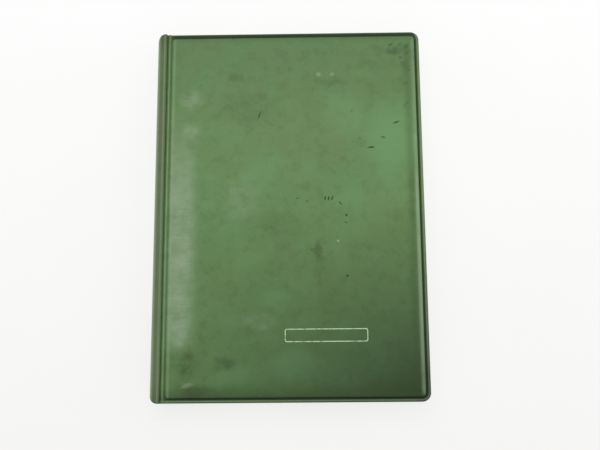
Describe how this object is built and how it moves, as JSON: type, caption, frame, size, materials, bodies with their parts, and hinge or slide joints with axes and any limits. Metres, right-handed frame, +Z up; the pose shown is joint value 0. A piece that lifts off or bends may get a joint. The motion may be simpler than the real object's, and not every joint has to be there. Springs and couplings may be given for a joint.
{
  "type": "pilot logbook",
  "caption": "Closed portrait logbook: a bound page block in a green heat-welded vinyl cover with hinge channels, inner pockets and a blank title panel.",
  "frame": {"origin": "middle of the bottom of the closed book's outer box, on the surface it lies on", "axes": "+X from the spine to the fore edge, +Y from the tail to the head, +Z up out of the front cover"},
  "size_m": [0.1562, 0.2166, 0.0187],
  "materials": {
    "green_vinyl": "worn satin, fine grain",
    "title_foil": "thin worn foil line",
    "lining_vinyl": "matte",
    "pocket_vinyl": "satin",
    "grey_board": "raw",
    "buff_card": "uncoated",
    "endpaper": "uncoated",
    "ledger_paper": "uncoated, ruled",
    "linen_thread": "twisted",
    "mull_cloth": "open weave",
    "kraft_paper": "uncoated",
    "band_cloth": "woven"
  },
  "bodies": {
    "back_cover_and_block": {"back_outer_film": "green_vinyl", "back_board": "grey_board", "back_lining": "lining_vinyl", "back_pocket": "pocket_vinyl", "spine_film": "green_vinyl", "spine_lining": "lining_vinyl", "back_card": "buff_card", "back_endpaper": "endpaper", "section_05": "ledger_paper", "section_06": "ledger_paper", "section_07": "ledger_paper", "section_08": "ledger_paper", "section_09": "ledger_paper", "section_10": "ledger_paper", "sewing_thread": "linen_thread", "spine_mull": "mull_cloth", "spine_kraft": "kraft_paper", "head_band": "band_cloth", "tail_band": "band_cloth"},
    "front_cover": {"front_outer_film": "green_vinyl", "front_board": "grey_board", "front_lining": "lining_vinyl", "front_pocket": "pocket_vinyl"},
    "front_card_leaf": {"front_card": "buff_card"},
    "front_endpaper_leaf": {"front_endpaper": "endpaper"},
    "section_01_leaves": {"section_01": "ledger_paper"},
    "section_02_leaves": {"section_02": "ledger_paper"},
    "section_03_leaves": {"section_03": "ledger_paper"},
    "section_04_leaves": {"section_04": "ledger_paper"}
  },
  "joints": [
    {"name": "front_cover_swing", "type": "hinge", "parent": "back_cover_and_block", "child": "front_cover", "pos_m": [-0.0805, 0, 0.00934], "axis": [0, -1, 0], "range_deg": [0, 179.5], "deforming": ["spine_film", "spine_lining"]},
    {"name": "front_card_turn", "type": "hinge", "parent": "back_cover_and_block", "child": "front_card_leaf", "pos_m": [-0.0747, 0, 0.01564], "axis": [0, -1, 0], "range_deg": [0, 184.51]},
    {"name": "front_endpaper_turn", "type": "hinge", "parent": "back_cover_and_block", "child": "front_endpaper_leaf", "pos_m": [-0.0747, 0, 0.01564], "axis": [0, -1, 0], "range_deg": [0, 184.44]},
    {"name": "section_01_turn", "type": "hinge", "parent": "back_cover_and_block", "child": "section_01_leaves", "pos_m": [-0.0747, 0, 0.01564], "axis": [0, -1, 0], "range_deg": [0, 184.33]},
    {"name": "section_02_turn", "type": "hinge", "parent": "back_cover_and_block", "child": "section_02_leaves", "pos_m": [-0.0747, 0, 0.01564], "axis": [0, -1, 0], "range_deg": [0, 7.38]},
    {"name": "section_03_turn", "type": "hinge", "parent": "back_cover_and_block", "child": "section_03_leaves", "pos_m": [-0.0747, 0, 0.01564], "axis": [0, -1, 0], "range_deg": [0, 4.87]},
    {"name": "section_04_turn", "type": "hinge", "parent": "back_cover_and_block", "child": "section_04_leaves", "pos_m": [-0.0747, 0, 0.01564], "axis": [0, -1, 0], "range_deg": [0, 2.71]}
  ],
  "couplings": [
    {"joint": "front_card_turn", "follows": "front_cover_swing", "ratio": 1.0268},
    {"joint": "front_endpaper_turn", "follows": "front_cover_swing", "ratio": 1.0264},
    {"joint": "section_01_turn", "follows": "front_cover_swing", "ratio": 1.0258},
    {"joint": "section_02_turn", "follows": "front_cover_swing", "ratio": 0.04},
    {"joint": "section_03_turn", "follows": "front_cover_swing", "ratio": 0.026},
    {"joint": "section_04_turn", "follows": "front_cover_swing", "ratio": 0.014}
  ]
}
